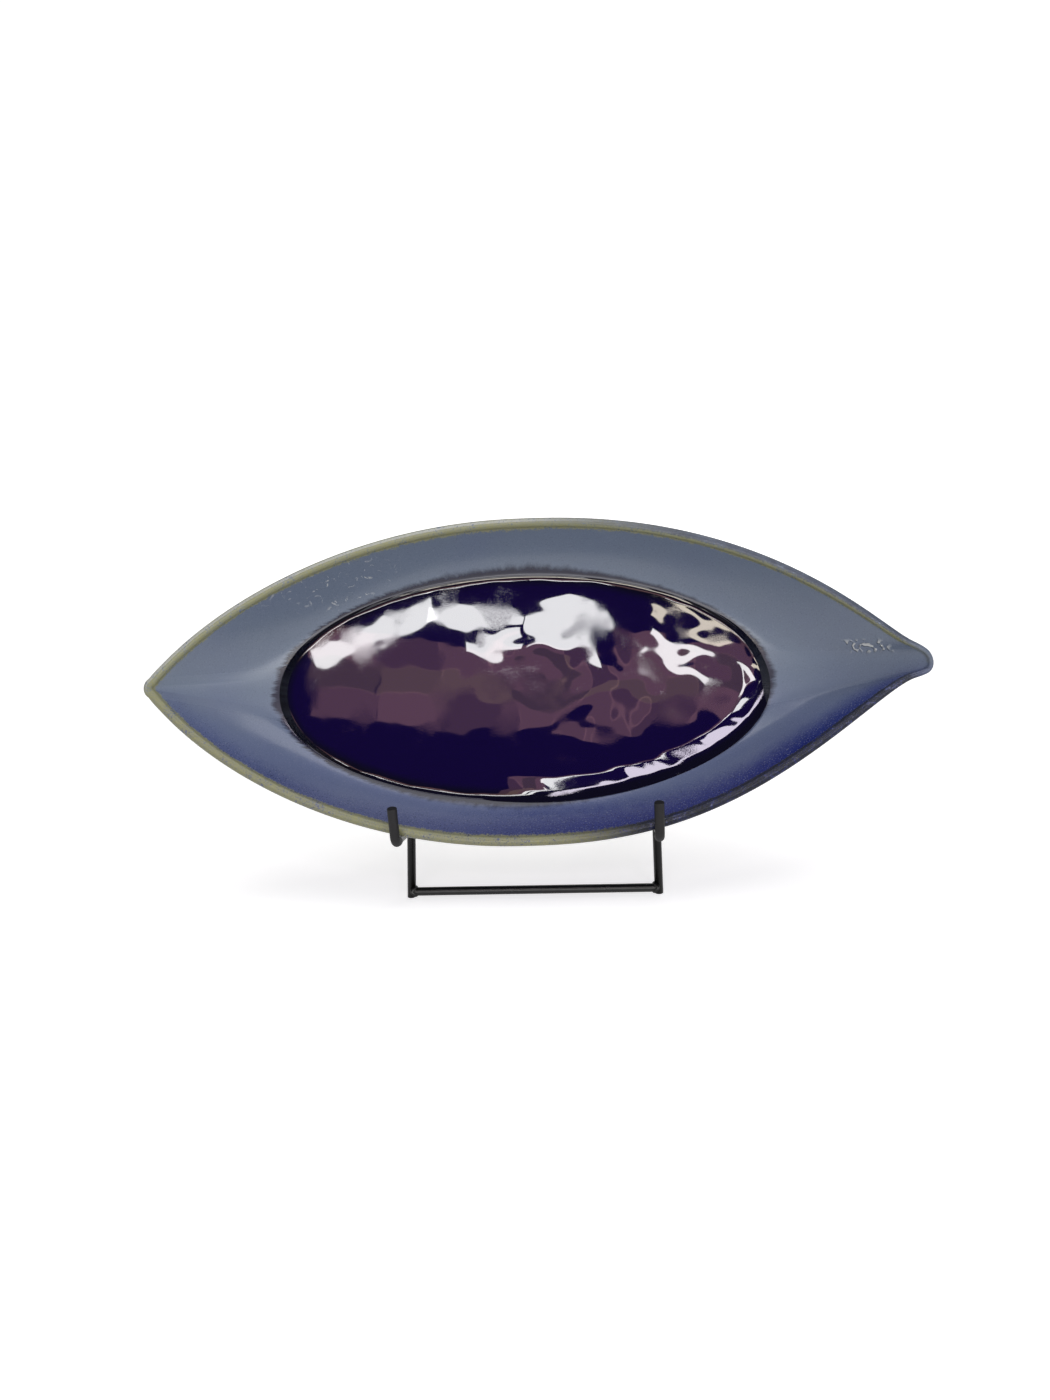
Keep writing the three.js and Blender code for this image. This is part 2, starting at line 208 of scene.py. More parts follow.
def grow(name, tree, sizes, start=None, bevel=0.0):
    """Runs a tree on a start mesh and keeps what it makes as a plain mesh at the origin."""
    piece = bpy.data.objects.new(name, start or bpy.data.meshes.new(name))
    scene.collection.objects.link(piece)
    shaper = piece.modifiers.new("shape", "NODES")
    shaper.node_group = tree
    for item in tree.interface.items_tree:
        if item.in_out == "INPUT" and item.name in sizes:
            shaper[item.identifier] = sizes[item.name]
    if bevel:
        edge = piece.modifiers.new("edge", "BEVEL")
        edge.width = bevel
        edge.segments = 3
        edge.limit_method = "ANGLE"
        edge.angle_limit = SHARP_ANGLE
    evaluated = piece.evaluated_get(bpy.context.evaluated_depsgraph_get())
    shaped = bpy.data.meshes.new_from_object(evaluated)
    piece.modifiers.clear()
    piece.data = shaped
    shaped.name = name
    print(name, "has", len(shaped.polygons), "faces")
    return piece


def settle(piece, body, slot, *nodes):
    """Puts a finished piece on its body, in the place of the nodes that it stands for."""
    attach(piece, body)
    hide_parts(*nodes)


print("shape helpers ready")

# %% [markdown]
# ## Trees that make finishes
#
# A finish is a Principled shader with a few fields plugged in. A value that is the same all over is
# set on the shader itself, and what changes over the surface comes from noise or from what the
# shape tree wrote on the points.

# %% Helpers for finishes
def tone(red, green, blue):
    """A colour as it is read on a screen, from 0 to 255, as the linear light that shaders use."""
    def linear(value):
        part = value / 255
        return part / 12.92 if part <= 0.04045 else ((part + 0.055) / 1.055) ** 2.4
    return (linear(red), linear(green), linear(blue), 1.0)


def finish(name, **constants):
    """A new material with one Principled shader; gives the material, its tree and the shader."""
    material = bpy.data.materials.new(name)
    material.use_nodes = True
    tree = material.node_tree
    shader = tree.nodes["Principled BSDF"]
    for key, value in constants.items():
        shader.inputs[key.replace("_", " ").title().replace("Ior", "IOR")].default_value = value
    return material, tree, shader


def written(tree, name):
    """A number that the shape tree wrote on the points."""
    node = tree.nodes.new("ShaderNodeAttribute")
    node.attribute_name = name
    return Field(node.outputs["Fac"])


def place_in(tree):
    return tree.nodes.new("ShaderNodeTexCoord").outputs["Object"]


def blend(tree, share, first, second):
    """One colour over another by a share from 0 to 1."""
    node = tree.nodes.new("ShaderNodeMix")
    node.data_type = "RGBA"
    for value, slot in zip((share, first, second), (node.inputs[0], node.inputs[6], node.inputs[7])):
        plug(value, slot)
    return node.outputs[2]


def bump(tree, shader, height, distance):
    """Raises the surface by a height field times a distance in metres."""
    node = tree.nodes.new("ShaderNodeBump")
    node.inputs["Distance"].default_value = distance
    plug(height, node.inputs["Height"])
    plug(node.outputs[0], shader.inputs["Normal"])


print("finish helpers ready")

# %% [markdown]
# ## The glaze on the clay
#
# One glaze covers the dish. It is a satin grey-blue where it is of middle thickness, turns to strong cobalt
# where it ran thick by the lower lip, bleeds dark round the glass, and breaks to olive where it is thin over
# the lip. Painted shade makes the lower side darker and bluer. On the lip, a painted dark reflection darkens
# the lower right, and a painted highlight makes the top pale on the upper left. Pale patches high on the
# left of the wall are a painted reflection. The foot is left bare, because a glazed foot would stick to the
# kiln shelf. The shape tree writes how far each point is from the pool and the lip, so these bands follow
# the surface. A few blisters stand near the nib, made pale by a painted highlight.

# %% The glaze
GREY_BLUE = tone(105, 117, 135)
# Painted shade of the lower wall, also used for random mottling.
MOTTLE_AND_SHADE_BLUE = tone(84, 92, 136)
FLOWN_BLUE = tone(20, 33, 110)
BLEED_BLUE = tone(12, 10, 40)
# Thin glaze darkened as a painted dark reflection on the lower right lip.
BREAK_OLIVE = tone(142, 141, 98)
BREAK_DARK_REFLECTION = tone(40, 41, 30)
LIP_SLATE = tone(70, 75, 88)
# Pale colour for painted highlights and a painted reflection on the glaze.
PALE_HIGHLIGHT = tone(208, 210, 206)
BARE_CLAY = tone(176, 148, 112)
PALE_SPECK = tone(140, 146, 160)


def glaze_finish():
    material, tree, shader = finish("grey_blue_glaze", ior=1.52)
    place = place_in(tree)
    from_pool = written(tree, "from_pool")
    from_lip = written(tree, "from_lip")
    lip = written(tree, "lip")
    back = written(tree, "back")
    foot = written(tree, "foot")
    east = written(tree, "spoke_x")
    north = written(tree, "spoke_y")

    cloud = noise(tree, place, 22, detail=4)
    grain = noise(tree, place, 900, detail=2)
    speck = noise(tree, place, 1500, detail=0)
    ragged = noise(tree, place, 140, detail=5, rough=0.65)
    hairs = noise(tree, vector(tree, east * 60, north * 28, from_pool * 90), 1.0, detail=3, rough=0.6)

    # Painted shade: the lower side is made darker and bluer, and the cloud adds random mottling.
    shaded_low_side = north.smooth(0.2, -0.8)
    low_right = (east - north * 0.9).smooth(0.4, 1.25)
    colour = blend(tree, (shaded_low_side * 0.6 + cloud * 0.5).share(), GREY_BLUE, MOTTLE_AND_SHADE_BLUE)
    depth = 0.016 + low_right * 0.012
    flown = (from_lip + ragged * 0.010 + grain * 0.008).smooth(depth, 0.001) * shaded_low_side
    colour = blend(tree, (flown * (0.35 + low_right * 0.65)).share(), colour, FLOWN_BLUE)
    colour = blend(tree, east.smooth(0.9, 1.0) * from_pool.smooth(0.015, 0.05) * 0.14, colour, BLEED_BLUE)
    colour = blend(tree, speck.smooth(0.17, 0.24) * (0.16 + flown * 0.2), colour, PALE_SPECK)
    colour = blend(tree, speck.smooth(-0.16, -0.24) * (0.12 + flown * 0.6), colour, BLEED_BLUE)

    # Pale patches on the upper left of the wall: a painted reflection.
    pale_reflection_patch = noise(tree, place, 150, detail=5, rough=0.7, twist=1.5).smooth(0.09, 0.16)
    reflection_patch_place = (east + 0.55).math("ABSOLUTE").smooth(0.22, 0.05) * north.smooth(0.5, 0.8)
    reflection_patch_place = reflection_patch_place * lip.smooth(0.2, 0.0)
    colour = blend(tree, pale_reflection_patch * reflection_patch_place * from_pool.smooth(0.006, 0.012) * 0.7, colour, PALE_HIGHLIGHT)

    hair_length = 0.002 + 0.008 * east.smooth(-0.3, -0.9) + 0.004 * east.smooth(0.6, 1.0)
    bleed = (from_pool + hairs * hair_length + ragged * 0.004).smooth(0.0066, 0.0024)
    colour = blend(tree, bleed, colour, BLEED_BLUE)

    # Painted dark reflection: the thin glaze on the lip is darker at the lower right.
    painted_dark_lip = east.smooth(0.05, 0.34) * north.smooth(0.1, -0.1)
    broken = blend(tree, (painted_dark_lip + grain * 0.5).share(), BREAK_OLIVE, BREAK_DARK_REFLECTION)
    # Thin glaze over the top of the lip, made pale on the upper left by a painted highlight.
    pale_lip_highlight = lip.smooth(0.46, 0.54) * lip.smooth(0.8, 0.68)
    pale_lip_highlight = pale_lip_highlight * north.smooth(-0.3, 0.3) * east.smooth(0.5, 0.0)
    pale_lip_highlight = pale_lip_highlight * (0.6 + ragged * 0.8)
    broken = blend(tree, pale_lip_highlight.share(), broken, PALE_HIGHLIGHT)
    slate_lip = (lip + grain * 0.3).smooth(0.2, 0.4) * east.smooth(-0.1, 0.5) * north.smooth(-0.05, 0.15)
    broken = blend(tree, slate_lip.share(), broken, LIP_SLATE)
    thin = (from_lip + ragged * 0.0028 + grain * 0.0035).smooth(0.0012, 0.0)
    thin = thin * (back + ragged * 0.06).smooth(0.10, 0.03) * (1 - east.smooth(0.93, 0.985) * 0.75)
    colour = blend(tree, (thin * (0.85 + grain * 1.2)).share(), colour, broken)

    # The blisters' bumps are real; their pale colour is a painted highlight.
    blister_and_glint = noise(tree, place, 420, detail=0).smooth(0.02, 0.16)
    blister_and_glint = blister_and_glint * east.smooth(0.925, 0.945) * east.smooth(0.985, 0.965) * north.smooth(0.0, 0.1)
    blister_and_glint = blister_and_glint * from_pool.smooth(0.044, 0.050) * from_pool.smooth(0.068, 0.062)
    colour = blend(tree, blister_and_glint * 0.7, colour, PALE_HIGHLIGHT)

    bare = (foot + back.smooth(0.955, 0.985) + ragged * 0.5).smooth(0.45, 0.62)
    colour = blend(tree, bare, colour, BARE_CLAY)
    plug(colour, shader.inputs["Base Color"])
    valley = north.math("ABSOLUTE").smooth(0.34, 0.0) * 0.38
    gloss = 0.2 + valley + thin * (0.1 - painted_dark_lip * 0.16) + bare * 0.55
    gloss = gloss + grain * 0.04 + cloud * 0.06 - blister_and_glint * 0.3
    plug(gloss, shader.inputs["Roughness"])
    plug(0.5 - thin * (0.2 + painted_dark_lip * 0.2), shader.inputs["Specular IOR Level"])
    bump(tree, shader, grain * (0.2 + thin * 0.4 + bare * 2) + cloud * 3 + blister_and_glint * 5, 0.00012)
    return material


glaze = glaze_finish()
print("finish made:", glaze.name)

# %% [markdown]
# ## The dish
#
# A lathe can't make this dish, because its outline is a boat: two flanks that meet in a blunt end
# and a drawn-out nib. Its rule is simple all the same. A grid is bent round: across it goes the
# angle round the dish, and up it goes the section, from the well up the wall, over the rolled lip,
# down the outside and in under the foot. Each stretch adds its own step to the last one, so the
# stretches always meet.

# %% Sizes of the dish
DISH_SIZES = {
    "Half width": 0.0882,
    "Blunt reach": 0.1997,
    "Nib reach": 0.2135,
    "Blunt draw": 0.0025,
    "Nib draw": 0.0028,
    "Blunt sweep": 2.0,
    "Nib sweep": 2.395,
    "Blunt fullness": 0.76,
    "Nib fullness": 1.02,
    "Blunt tip": 0.007,
    "Nib tip": 0.009,
    "Blunt bow": 0.0,
    "Nib bow": 0.00375,
    "Side lip": 0.0026,
    "Blunt lip": 0.0026,
    "Nib lip": 0.0013,
    "Side wall": 0.0257,
    "End wall": 0.065,
    "Foot inset": 0.014,
    "Floor thickness": 0.0045,
    "Pool depth": 0.0035,
    "Pool edge": 0.0012,
    "Dish depth": 0.026,
    "Sheer": 0.010,
}
DISH_TILT = math.radians(23)
BOW_START = 3.6
BOW_RETURN = 2
TIP_FADE = 4
LIP_THINNING = 6
WALL_CURVE = 1.5
OUTER_CURVE = 2.2
SLOPE_STEP = 0.002
DISH_STEPS_ROUND = 400
SEAM = 2e-6
FOOT_FLATNESS = 1e-5
WELL_ROWS, EDGE_ROWS, WALL_ROWS, LIP_ROWS, BACK_ROWS, FOOT_ROWS = 8, 1, 54, 20, 36, 6
DISH_ROWS = WELL_ROWS + EDGE_ROWS + WALL_ROWS + LIP_ROWS + BACK_ROWS + FOOT_ROWS

out_of_dish = Vector((0, -math.cos(DISH_TILT), math.sin(DISH_TILT)))
dish_points = [vertex.co for vertex in frame["nodes"]["platter_body"].data.vertices]
foot_level = min(point.dot(out_of_dish) for point in dish_points)
foot_points = [point for point in dish_points if point.dot(out_of_dish) < foot_level + FOOT_FLATNESS]
foot_centre = sum(foot_points, Vector()) / len(foot_points)
print("foot centre:", [round(c, 4) for c in foot_centre])


# %% The rule of the dish
def end_size(size, cosine, word):
    """A size that the blunt end and the nib end each have their own value of."""
    is_nib = cosine.math("GREATER_THAN", 0.0)
    return size["Blunt " + word] + is_nib * (size["Nib " + word] - size["Blunt " + word])


def outline_point(size, angle):
    """Outer edge of the lip at an angle round the dish, as x and y."""
    cosine = angle.math("COSINE")

    def end(word):
        return end_size(size, cosine, word)

    reach = end("reach")
    tip_radius = end("tip")
    along = cosine.math("ABSOLUTE")
    distance = reach * along
    taper = (1 - (distance / (reach - end("draw"))) ** end("sweep")).at_least(0)
    flank = size["Half width"] * taper ** end("fullness")
    past = (distance - reach + tip_radius).at_least(0)
    round_tip = (tip_radius ** 2 - past ** 2).root() * along ** TIP_FADE
    half = (flank ** 2 + round_tip ** 2).root()
    peak = (BOW_START / (BOW_START + BOW_RETURN)) ** (1 / BOW_RETURN)
    full_bow = peak ** BOW_START * (1 - peak ** BOW_RETURN)
    bow = end("bow") * (along ** BOW_START * (1 - along ** BOW_RETURN)) * (1 / full_bow)
    return reach * cosine, bow + angle.math("SINE").math("SIGN") * half


def inward_at(size, angle):
    """Unit step from the lip towards the middle of the dish."""
    ahead = outline_point(size, angle + SLOPE_STEP)
    behind = outline_point(size, angle - SLOPE_STEP)
    run = [a - b for a, b in zip(ahead, behind)]
    length = (run[0] ** 2 + run[1] ** 2).root()
    return run[1] * -1 / length, run[0] / length


def bent_grid(tree, steps_round, rows):
    """A flat grid, and the fields that bend it: the angle round the dish and the section's row."""
    grid = step(tree, "MeshGrid", size_x=1.0, size_y=1.0, vertices_x=steps_round + 1, vertices_y=rows + 1)
    split = tree.nodes.new("ShaderNodeSeparateXYZ")
    plug(tree.nodes.new("GeometryNodeInputPosition").outputs[0], split.inputs[0])
    angle = (Field(split.outputs["X"]) + 0.5) * (2 * math.pi)
    row = (Field(split.outputs["Y"]) + 0.5) * rows
    return grid, angle, row


def write(tree, geometry, **fields):
    """Writes fields on the points under their names."""
    number = {"data_type": "FLOAT"}
    for name, value in fields.items():
        geometry = step(tree, "StoreNamedAttribute", geometry, number, name=name, value=value)
    return geometry


def into_place(tree, geometry):
    """Closes a bent grid's seam and poles and leans it back into the dish's place."""
    geometry = step(tree, "MergeByDistance", geometry, distance=SEAM)
    turn = (math.pi / 2 - DISH_TILT, 0, 0)
    return step(tree, "Transform", geometry, translation=foot_centre, rotation=turn)


def dish_tree():
    tree, _, size = shape_tree("boat_dish", DISH_SIZES)
    grid, angle, row = bent_grid(tree, DISH_STEPS_ROUND, DISH_ROWS)
    starts = [0]
    for count in (WELL_ROWS, EDGE_ROWS, WALL_ROWS, LIP_ROWS, BACK_ROWS, FOOT_ROWS):
        starts.append(starts[-1] + count)
    well, edge, wall, lip, back, foot = (
        ((row - low) / (high - low)).share() for low, high in zip(starts, starts[1:])
    )
    spoke = (angle.math("COSINE"), angle.math("SINE"))
    rim = outline_point(size, angle)
    inward = inward_at(size, angle)
    pool_half = (size["Blunt reach"] - size["End wall"], size["Half width"] - size["Side wall"])
    to_tip = spoke[0].math("ABSOLUTE")
    end_change = end_size(size, spoke[0], "lip") - size["Side lip"]
    lip_radius = size["Side lip"] + end_change * to_tip ** LIP_THINNING
    pool_level = size["Floor thickness"] + size["Pool depth"]
    well_edge = pool_level - size["Pool edge"]
    bead = pool_level + size["Dish depth"] + size["Sheer"] * to_tip ** 2 - lip_radius

    plan, wall_run = [], []
    for spoke_part, rim_part, inward_part, half in zip(spoke, rim, inward, pool_half):
        pool_part = spoke_part * half
        foot_part = spoke_part * (half - size["Foot inset"])
        run = rim_part + inward_part * lip_radius * 2 - pool_part
        over_lip = inward_part * lip_radius * ((lip * math.pi).math("COSINE") - 1)
        under = (foot_part - rim_part) * back - foot_part * foot
        plan.append(pool_part * well + run * wall + over_lip + under)
        wall_run.append(run)
    height = (
        size["Floor thickness"]
        + (well_edge - size["Floor thickness"]) * well ** 2
        + size["Pool edge"] * edge
        + (bead - pool_level) * wall ** WALL_CURVE + lip_radius * (lip * math.pi).math("SINE")
        + bead * ((1 - back) ** OUTER_CURVE - 1)
    )
    wall_length = (wall_run[0] ** 2 + wall_run[1] ** 2).root()
    geometry = write(
        tree, grid, from_pool=wall * wall_length, from_lip=(1 - wall) * wall_length,
        lip=lip, back=back, foot=foot, spoke_x=spoke[0], spoke_y=spoke[1],
    )
    geometry = step(tree, "SetPosition", geometry, position=vector(tree, *plan, height))
    geometry = into_place(tree, step(tree, "FlipFaces", geometry))
    finish_tree(tree, geometry, glaze)
    return tree


dish = grow("glazed_dish", dish_tree(), DISH_SIZES)
settle(dish, "platter", "glazed_clay", "platter_body")

# %% [markdown]
# ## The finish of the glass
#
# The cobalt glass is so deep that it looks black-blue, and nearly all of its light is reflection. So its
# colour is plain and dark, with painted shade making it darker by its edge where it meets the wall, and its
# gloss and its lumps do the work. Fine pits, far smaller than the lumps, break the edges of the bright
# reflections into grains.

# %% The cobalt glass
GLASS_INDIGO = tone(13, 2, 52)
# Painted shade by the pool's edge, where the glass meets the wall.
GLASS_EDGE_SHADE = tone(8, 6, 26)


def glass_finish():
    material, tree, shader = finish("cobalt_glass", ior=1.58)
    place = place_in(tree)
    edge = written(tree, "from_edge")
    cloud = noise(tree, place, 30, detail=3)
    pits = noise(tree, place, 1900, detail=1)
    colour = blend(tree, (edge + cloud * 0.004).smooth(0.009, 0.003), GLASS_INDIGO, GLASS_EDGE_SHADE)
    plug(colour, shader.inputs["Base Color"])
    pitted = noise(tree, place, 45, detail=2).smooth(-0.02, 0.18)
    plug(0.02 + pitted * 0.012, shader.inputs["Roughness"])
    bump(tree, shader, pits * pitted, 0.000008)
    return material


glass = glass_finish()
print("finish made:", glass.name)

# %% [markdown]
# ## The pool of glass
#
# Molten glass sets level, but this pool is thick and uneven, so its face is lumpy. A narrow skirt
# clings to the wall all round, and at the lower right the glass ran up the wall: first a sloping
# shelf, then a steeper band. The same bent grid makes it: out over the face, then back under it
# along the well. Two sizes of noise raise the lumps and the ripples, and both are calmer on the
# left.

# %% The pool
POOL_SIZES = {
    "Half length": DISH_SIZES["Blunt reach"] - DISH_SIZES["End wall"],
    "Half width": DISH_SIZES["Half width"] - DISH_SIZES["Side wall"],
    "Overlap": 0.0010,
    "Band overlap": 0.0024,
    "Level": 0.0076,
    "Skirt width": 0.0040,
    "Skirt rise": 0.00055,
    "Shelf width": 0.014,
    "Shelf rise": 0.0018,
    "Band width": 0.0065,
    "Band rise": 0.0006,
    "Lump height": 0.00045,
    "Ripple height": 0.00008,
    "Well floor": DISH_SIZES["Floor thickness"],
    "Well rise": DISH_SIZES["Pool depth"] - DISH_SIZES["Pool edge"],
    "Well gap": 0.0001,
}
SKIRT_CURVE, SHELF_CURVE, BAND_CURVE = 2.0, 1.1, 1.3
EDGE_CROWDING = 1.6
LUMP_SCALE, RIPPLE_SCALE = 34, 85
LEFT_LUMPS, LEFT_RIPPLES = 0.1, 0.35
POOL_STEPS_ROUND = 360
FACE_ROWS, UNDER_ROWS = 110, 10


def pool_tree():
    tree, _, size = shape_tree("glass_pool", POOL_SIZES)
    grid, angle, row = bent_grid(tree, POOL_STEPS_ROUND, FACE_ROWS + UNDER_ROWS)
    face = 1 - (1 - (row / FACE_ROWS).share()) ** EDGE_CROWDING
    under = ((row - FACE_ROWS) / UNDER_ROWS).share()
    spoke = (angle.math("COSINE"), angle.math("SINE"))
    low_right = (spoke[0] - spoke[1]).smooth(0.75, 1.38)
    overlap = size["Overlap"] + size["Band overlap"] * low_right
    halves = (size["Half length"] + overlap, size["Half width"] + overlap)
    out = face - under
    plan = [spoke_part * half * out for spoke_part, half in zip(spoke, halves)]
    across = (spoke[0] * halves[1]) ** 2 + (spoke[1] * halves[0]) ** 2
    from_edge = (1 - face) * (halves[0] * halves[1] / across.root())
    here = vector(tree, plan[0], plan[1], 0.0)
    sway = noise(tree, vector(tree, spoke[0] * 2, spoke[1], 0.0), 3.5, detail=1)

    def climb(word, curve, unevenness):
        """Height that the glass gains between a distance from its edge and the edge itself."""
        width = size[word + " width"] * (1 + sway * unevenness)
        return ((width - from_edge) / width).at_least(0) ** curve * size[word + " rise"]

    skirt = climb("Skirt", SKIRT_CURVE, 0.9) * (1 - low_right)
    run_up = (climb("Shelf", SHELF_CURVE, 0.4) + climb("Band", BAND_CURVE, 0.6)) * low_right
    to_right = plan[0].smooth(-0.07, 0.05)
    calm = from_edge.smooth(0.008, 0.030) * (LEFT_LUMPS + (1 - LEFT_LUMPS) * to_right)
    lumps = noise(tree, here, LUMP_SCALE, detail=0.0, twist=0.5) * size["Lump height"] * calm
    ripples = noise(tree, here, RIPPLE_SCALE, detail=0.0) * size["Ripple height"]
    ripples = ripples * from_edge.smooth(0.001, 0.008)
    ripples = ripples * (LEFT_RIPPLES + (1 - LEFT_RIPPLES) * to_right)
    face_height = size["Level"] + skirt + run_up + lumps + ripples
    well_height = size["Well floor"] + size["Well rise"] * out ** 2 + size["Well gap"]
    is_under = under.math("GREATER_THAN", 0.0)
    height = face_height + is_under * (well_height - face_height)
    geometry = write(tree, grid, from_edge=from_edge)
    geometry = step(tree, "SetPosition", geometry, position=vector(tree, *plan, height))
    geometry = into_place(tree, step(tree, "FlipFaces", geometry))
    finish_tree(tree, geometry, glass)
    return tree


pool = grow("glass_pool", pool_tree(), POOL_SIZES)
settle(pool, "platter", "cobalt_glass", "cobalt_pool")

# %% [markdown]
# ## The finishes of the stand
#
# The bars are steel with a thin coat of black paint: semi-gloss, a little uneven, and slightly
# rubbed. The hooks are dipped in vinyl, which is matte and a little rubbery, so that they don't
# scratch the glaze.

# %% Paint and vinyl
def paint_finish():
    material, tree, shader = finish("black_paint", ior=1.42)
    place = place_in(tree)
    cloud = noise(tree, place, 60, detail=4)
    peel = noise(tree, place, 1400, detail=2)
    colour = blend(tree, cloud.smooth(-0.25, 0.25), tone(4, 4, 4), tone(11, 11, 10))
    plug(colour, shader.inputs["Base Color"])
    plug(0.3 + cloud * 0.2 + peel * 0.1, shader.inputs["Roughness"])
    bump(tree, shader, peel, 0.00008)
    return material


def vinyl_finish():
    material, tree, shader = finish("black_vinyl", ior=1.38)
    place = place_in(tree)
    cloud = noise(tree, place, 80, detail=3)
    grain = noise(tree, place, 2200, detail=2)
    colour = blend(tree, cloud.smooth(-0.3, 0.3), tone(13, 12, 14), tone(22, 21, 23))
    plug(colour, shader.inputs["Base Color"])
    plug(0.62 + grain * 0.15, shader.inputs["Roughness"])
    bump(tree, shader, grain + cloud * 2, 0.00006)
    return material


paint = paint_finish()
vinyl = vinyl_finish()
print("finishes made:", paint.name, vinyl.name)

# %% [markdown]
# ## Round bar along a path
#
# Every bar of the stand is a round section swept along a path of straight runs. One tree does it: the start
# mesh is the path's points and edges, the corners are filleted to the bend's radius, and a circle is swept
# along. A bevel then eases the cut ends. A leg that meets the table is eased first and then cut level there,
# so its cut end is left sharp.

# %% The bar tree
BAR_SIDES = 36
BEND_STEPS = 14
BAR_SIZES = {"Diameter": 0.0, "Bend radius": 0.0}
END_EASE = 0.0006
CROSS_BAR_EASE = 0.0003


def bar_tree(name, material):
    tree, path, size = shape_tree(name, BAR_SIZES)
    curve = step(tree, "MeshToCurve", path)
    curve = step(tree, "FilletCurve", curve, {"mode": "POLY"}, count=BEND_STEPS, radius=size["Bend radius"])
    circle = step(tree, "CurvePrimitiveCircle", resolution=BAR_SIDES, radius=size["Diameter"] / 2)
    bar = step(tree, "CurveToMesh", curve, profile_curve=circle, fill_caps=True)
    finish_tree(tree, bar, material)
    return tree


def path_mesh(name, points):
    mesh = bpy.data.meshes.new(name)
    mesh.from_pydata([tuple(point) for point in points], [(i, i + 1) for i in range(len(points) - 1)], [])
    return mesh


def round_bar(name, tree, points, diameter, bend_radius=0.0, ease=END_EASE):
    sizes = {"Diameter": diameter, "Bend radius": bend_radius}
    return grow(name, tree, sizes, path_mesh(name, points), ease)


painted_bar = bar_tree("painted_bar", paint)
vinyl_bar = bar_tree("vinyl_bar", vinyl)
print("bar trees ready")

# %% [markdown]
# ## The front frame
#
# Two leaning uprights stand on the table with a floor bar between their feet. A top bar lies across
# their backs, and it is also the rod that the rear prop turns on. The places come from the measured
# model: each floor bar's middle is on its legs' axes, and the hinge gives the top bar's axis.

# %% Uprights and cross bars
BAR_DIAMETER = 0.00476
FRAME_LEAN = math.radians(22)

hinge = Vector(next(joint for joint in frame["joints"] if joint["type"] == "hinge")["pos_m"])
up_frame = Vector((0, math.sin(FRAME_LEAN), math.cos(FRAME_LEAN)))


def middle(node):
    low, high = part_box(node)
    return (low + high) / 2


def at_x(point, x):
    return Vector((x, point.y, point.z))


def footed_leg(name, low_point, high_point):
    """A leg that is cut level where it meets the table."""
    along = (high_point - low_point).normalized()
    below = low_point - along * (low_point.z / along.z + BAR_DIAMETER)
    leg = round_bar(name, painted_bar, [below, high_point], BAR_DIAMETER)
    shape = bmesh.new()
    shape.from_mesh(leg.data)
    every = shape.verts[:] + shape.edges[:] + shape.faces[:]
    cut = bmesh.ops.bisect_plane(shape, geom=every, plane_co=(0, 0, 0), plane_no=(0, 0, 1), clear_inner=True)
    rim = [item for item in cut["geom_cut"] if isinstance(item, bmesh.types.BMEdge)]
    bmesh.ops.contextual_create(shape, geom=rim)
    shape.to_mesh(leg.data)
    shape.free()
    return leg


def cross_bar(name, node):
    low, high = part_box(node)
    centre = (low + high) / 2
    ends = [at_x(centre, low.x), at_x(centre, high.x)]
    return round_bar(name, painted_bar, ends, BAR_DIAMETER, ease=CROSS_BAR_EASE)


floor_middle = middle("floor_bar")
for side in ("left", "right"):
    node = side + "_upright"
    foot_end = at_x(floor_middle, middle(node).x)
    top_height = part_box(node)[1].z - BAR_DIAMETER / 2 * math.sin(FRAME_LEAN)
    top_end = foot_end + up_frame * ((top_height - foot_end.z) / up_frame.z)
    settle(footed_leg(side + "_upright_bar", foot_end, top_end), "stand_frame", "black_bar", node)
for node in ("floor_bar", "top_bar"):
    settle(cross_bar(node + "_round", node), "stand_frame", "black_bar", node)

# %% [markdown]
# ## Arms and their vinyl hooks
#
# Each arm leaves its upright, rises gently under the lip and bends up into a hook. The vinyl covers
# the hook and its bend. The sleeve's end in the measured model gives the hook's tip, and the arm's
# rise and the hook's lean give the two straight runs, which meet at the corner of the bend.

# %% Arms and hooks
ARM_DIAMETER = 0.00397
ARM_HEIGHT = 0.0344
ARM_RISE = math.radians(12)
HOOK_LEAN = math.radians(3.7)
HOOK_HEIGHT = 0.020
BEND_RADIUS = 0.006
SLEEVE_DIAMETER = 0.00511
SLEEVE_DOWN_ARM = 0.0066
SLEEVE_EASE = 0.0004
VINYL_OVER_TIP = 0.001
UP_HOOK = Vector((0, -math.sin(HOOK_LEAN), math.cos(HOOK_LEAN)))
DOWN_ARM = Vector((0, math.cos(ARM_RISE), -math.sin(ARM_RISE)))

arm_joint = floor_middle + up_frame * ((ARM_HEIGHT - floor_middle.z) / up_frame.z)
for side in ("left", "right"):
    low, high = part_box(side + "_hook_sleeve")
    radius = SLEEVE_DIAMETER / 2
    tip_y = low.y + radius * math.cos(HOOK_LEAN)
    tip_z = high.z - radius * math.sin(HOOK_LEAN)
    tip = Vector(((low.x + high.x) / 2, tip_y, tip_z))
    corner = tip - UP_HOOK * HOOK_HEIGHT
    root = at_x(arm_joint, tip.x)
    arm_path = [root, corner, tip - UP_HOOK * VINYL_OVER_TIP]
    arm = round_bar(side + "_arm", painted_bar, arm_path, ARM_DIAMETER, BEND_RADIUS)
    settle(arm, "stand_frame", "black_bar", side + "_arm_hook")
    sleeve_path = [corner + DOWN_ARM * SLEEVE_DOWN_ARM, corner, tip]
    sleeve = round_bar(side + "_sleeve", vinyl_bar, sleeve_path, SLEEVE_DIAMETER, BEND_RADIUS, SLEEVE_EASE)
    settle(sleeve, "stand_frame", "black_vinyl", side + "_hook_sleeve")
    print(side, "arm ends at", [round(c, 4) for c in corner])

